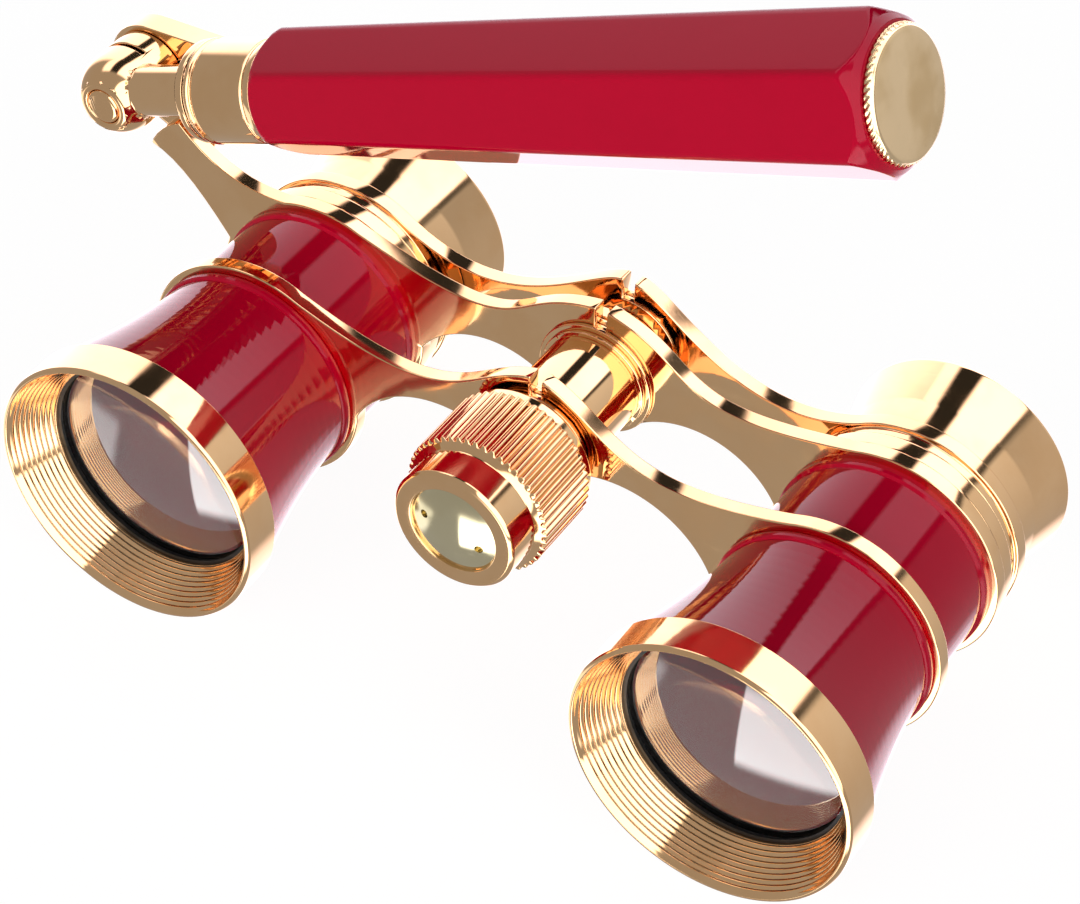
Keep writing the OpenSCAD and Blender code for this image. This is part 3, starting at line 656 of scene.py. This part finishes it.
mix = add_node(tree, "ShaderNodeMixShader", {
    0: seen, 1: shader.outputs[0], 2: glow.outputs[0]})
tree.links.new(mix.outputs[0], tree.nodes["Material Output"].inputs["Surface"])
floor_mesh.materials.append(paper)

# Studio: a pale tent round the back of the table. To polished metal it shows as a bright
# wall on the left, a bright roof and a grey wall on the right, with dark gaps between them.
# Angles run round the Y axis in degrees: 0 is straight down, 90 is +X and 180 is up.
TENT_BANDS = (
    (0, 1.8), (20, 1.6), (33, 0.5), (60, 0.55), (130, 0.82),
    (135, 0.1), (139, 0.1), (142, 2.8), (184, 2.8),
    (188, 0.03), (206, 0.03), (210, 2.4), (300, 2.4), (345, 2.0))
TENT_GREEN = 0.92
ROOM_LEVEL = 0.42
TENT_FRONT = (0.25, 0.5)
ROOF_FRONT = (-0.25, -0.1)
ROOF_LOW = (0.6, 0.72)
DIFFUSE_LEVEL = 0.15
# A white card on the table in front, whose left edge shows in the lenses
CARD_LEFT = (-0.262, -0.248)
CARD_TOP = (-0.3, -0.42)
CARD_BACK = (-0.25, -0.4)
CARD_FLOOR = (-0.81, -0.75)
CARD_LEVEL = 3.6
# A second card at the far left, and the face of the key softbox as polished metal sees it
SIDE_CARD_RIGHT = (-0.56, -0.6)
SIDE_CARD_TOP = (-0.48, -0.56)
SIDE_CARD_LEVEL = 1.1
KEY_EDGE = (0.76, 0.8)
KEY_GLOSS = 2.6
KEY_GLOSS_DIRECTION = Vector((0.74, -0.53, 0.41))
# Each softbox: the way towards it, its distance, its width and its power
KEY_SIZE = 0.85
KEY_LEVEL = 2.8
KEY_POWER = KEY_LEVEL * pi * KEY_SIZE ** 2
SOFTBOXES = {
    "key_softbox": (Vector((-0.2, -0.95, 0.25)), 0.95, KEY_SIZE, KEY_POWER),
    "top_softbox": (Vector((-0.2, 0.3, 1.0)), 0.9, 0.6, 0.9),
    "right_softbox": (Vector((0.85, -0.25, 0.45)), 1.1, 0.6, 3.6)}

world = bpy.data.worlds.new("studio")
scene.world = world
world.use_nodes = True
tree = world.node_tree
tree.nodes.clear()
direction = add_node(tree, "ShaderNodeTexCoord").outputs["Generated"]
split = add_node(tree, "ShaderNodeSeparateXYZ", {0: direction}).outputs
angle = calculate(tree, "ARCTAN2", split["X"], calculate(tree, "MULTIPLY", split["Z"], -1.0))
share = calculate(tree, "ADD", calculate(tree, "DIVIDE", angle, 2 * pi), 1.0)
share = calculate(tree, "FRACT", share)
ramp = add_node(tree, "ShaderNodeValToRGB", {0: share})
steps = ramp.color_ramp.elements
while len(steps) > 1:
    steps.remove(steps[-1])
for index, (degrees, level) in enumerate(TENT_BANDS):
    step = steps[0] if index == 0 else steps.new(degrees / 360)
    step.position = degrees / 360
    step.color = (level, level * (TENT_GREEN if level > 1 else 1), level, 1)
roof = calculate(tree, "MULTIPLY", stretch(tree, split["Z"], *ROOF_LOW),
                 stretch(tree, split["Y"], *ROOF_FRONT))
behind = calculate(tree, "MAXIMUM", roof, stretch(tree, split["Y"], *TENT_FRONT))
card = calculate(tree, "MULTIPLY", stretch(tree, split["X"], *CARD_LEFT),
                 calculate(tree, "MULTIPLY", stretch(tree, split["Z"], *CARD_TOP),
                           stretch(tree, split["Y"], *CARD_BACK)))
card = calculate(tree, "MULTIPLY", card, stretch(tree, split["Z"], *CARD_FLOOR))
side_card = calculate(tree, "MULTIPLY", stretch(tree, split["X"], *SIDE_CARD_RIGHT),
                      stretch(tree, split["Z"], *SIDE_CARD_TOP))
towards_key = add_node(tree, "ShaderNodeVectorMath", {
    0: direction, 1: KEY_GLOSS_DIRECTION.normalized()}, operation="DOT_PRODUCT").outputs["Value"]
front = ROOM_LEVEL
for glow, strength in ((card, CARD_LEVEL), (side_card, SIDE_CARD_LEVEL),
                       (stretch(tree, towards_key, *KEY_EDGE), KEY_GLOSS)):
    front = calculate(tree, "ADD", front, calculate(tree, "MULTIPLY", glow, strength))
ray = add_node(tree, "ShaderNodeLightPath").outputs
mirrored = add_node(tree, "ShaderNodeBackground", {
    "Color": blend_colours(tree, behind, front, ramp.outputs["Color"]), "Strength": 1.0})
diffuse = add_node(tree, "ShaderNodeBackground", {"Strength": DIFFUSE_LEVEL})
white = add_node(tree, "ShaderNodeBackground", {"Color": (1, 1, 1, 1), "Strength": 1.0})
lit = add_node(tree, "ShaderNodeMixShader", {
    0: ray["Is Glossy Ray"], 1: diffuse.outputs[0], 2: mirrored.outputs[0]})
clear = calculate(tree, "MAXIMUM", ray["Is Camera Ray"], ray["Is Transmission Ray"])
seen = add_node(tree, "ShaderNodeMixShader", {0: clear, 1: lit.outputs[0], 2: white.outputs[0]})
add_node(tree, "ShaderNodeOutputWorld", {"Surface": seen.outputs[0]})


def softbox(name, towards, distance, size, power):
    data = bpy.data.lights.new(name, "AREA")
    data.shape = "SQUARE"
    data.size = size
    data.energy = power
    lamp = bpy.data.objects.new(name, data)
    scene.collection.objects.link(lamp)
    lamp.location = towards.normalized() * distance
    lamp.rotation_euler = (-towards).to_track_quat("-Z", "Y").to_euler()
    lamp.visible_glossy = False
    lamp.visible_camera = False


for name, settings in SOFTBOXES.items():
    softbox(name, *settings)
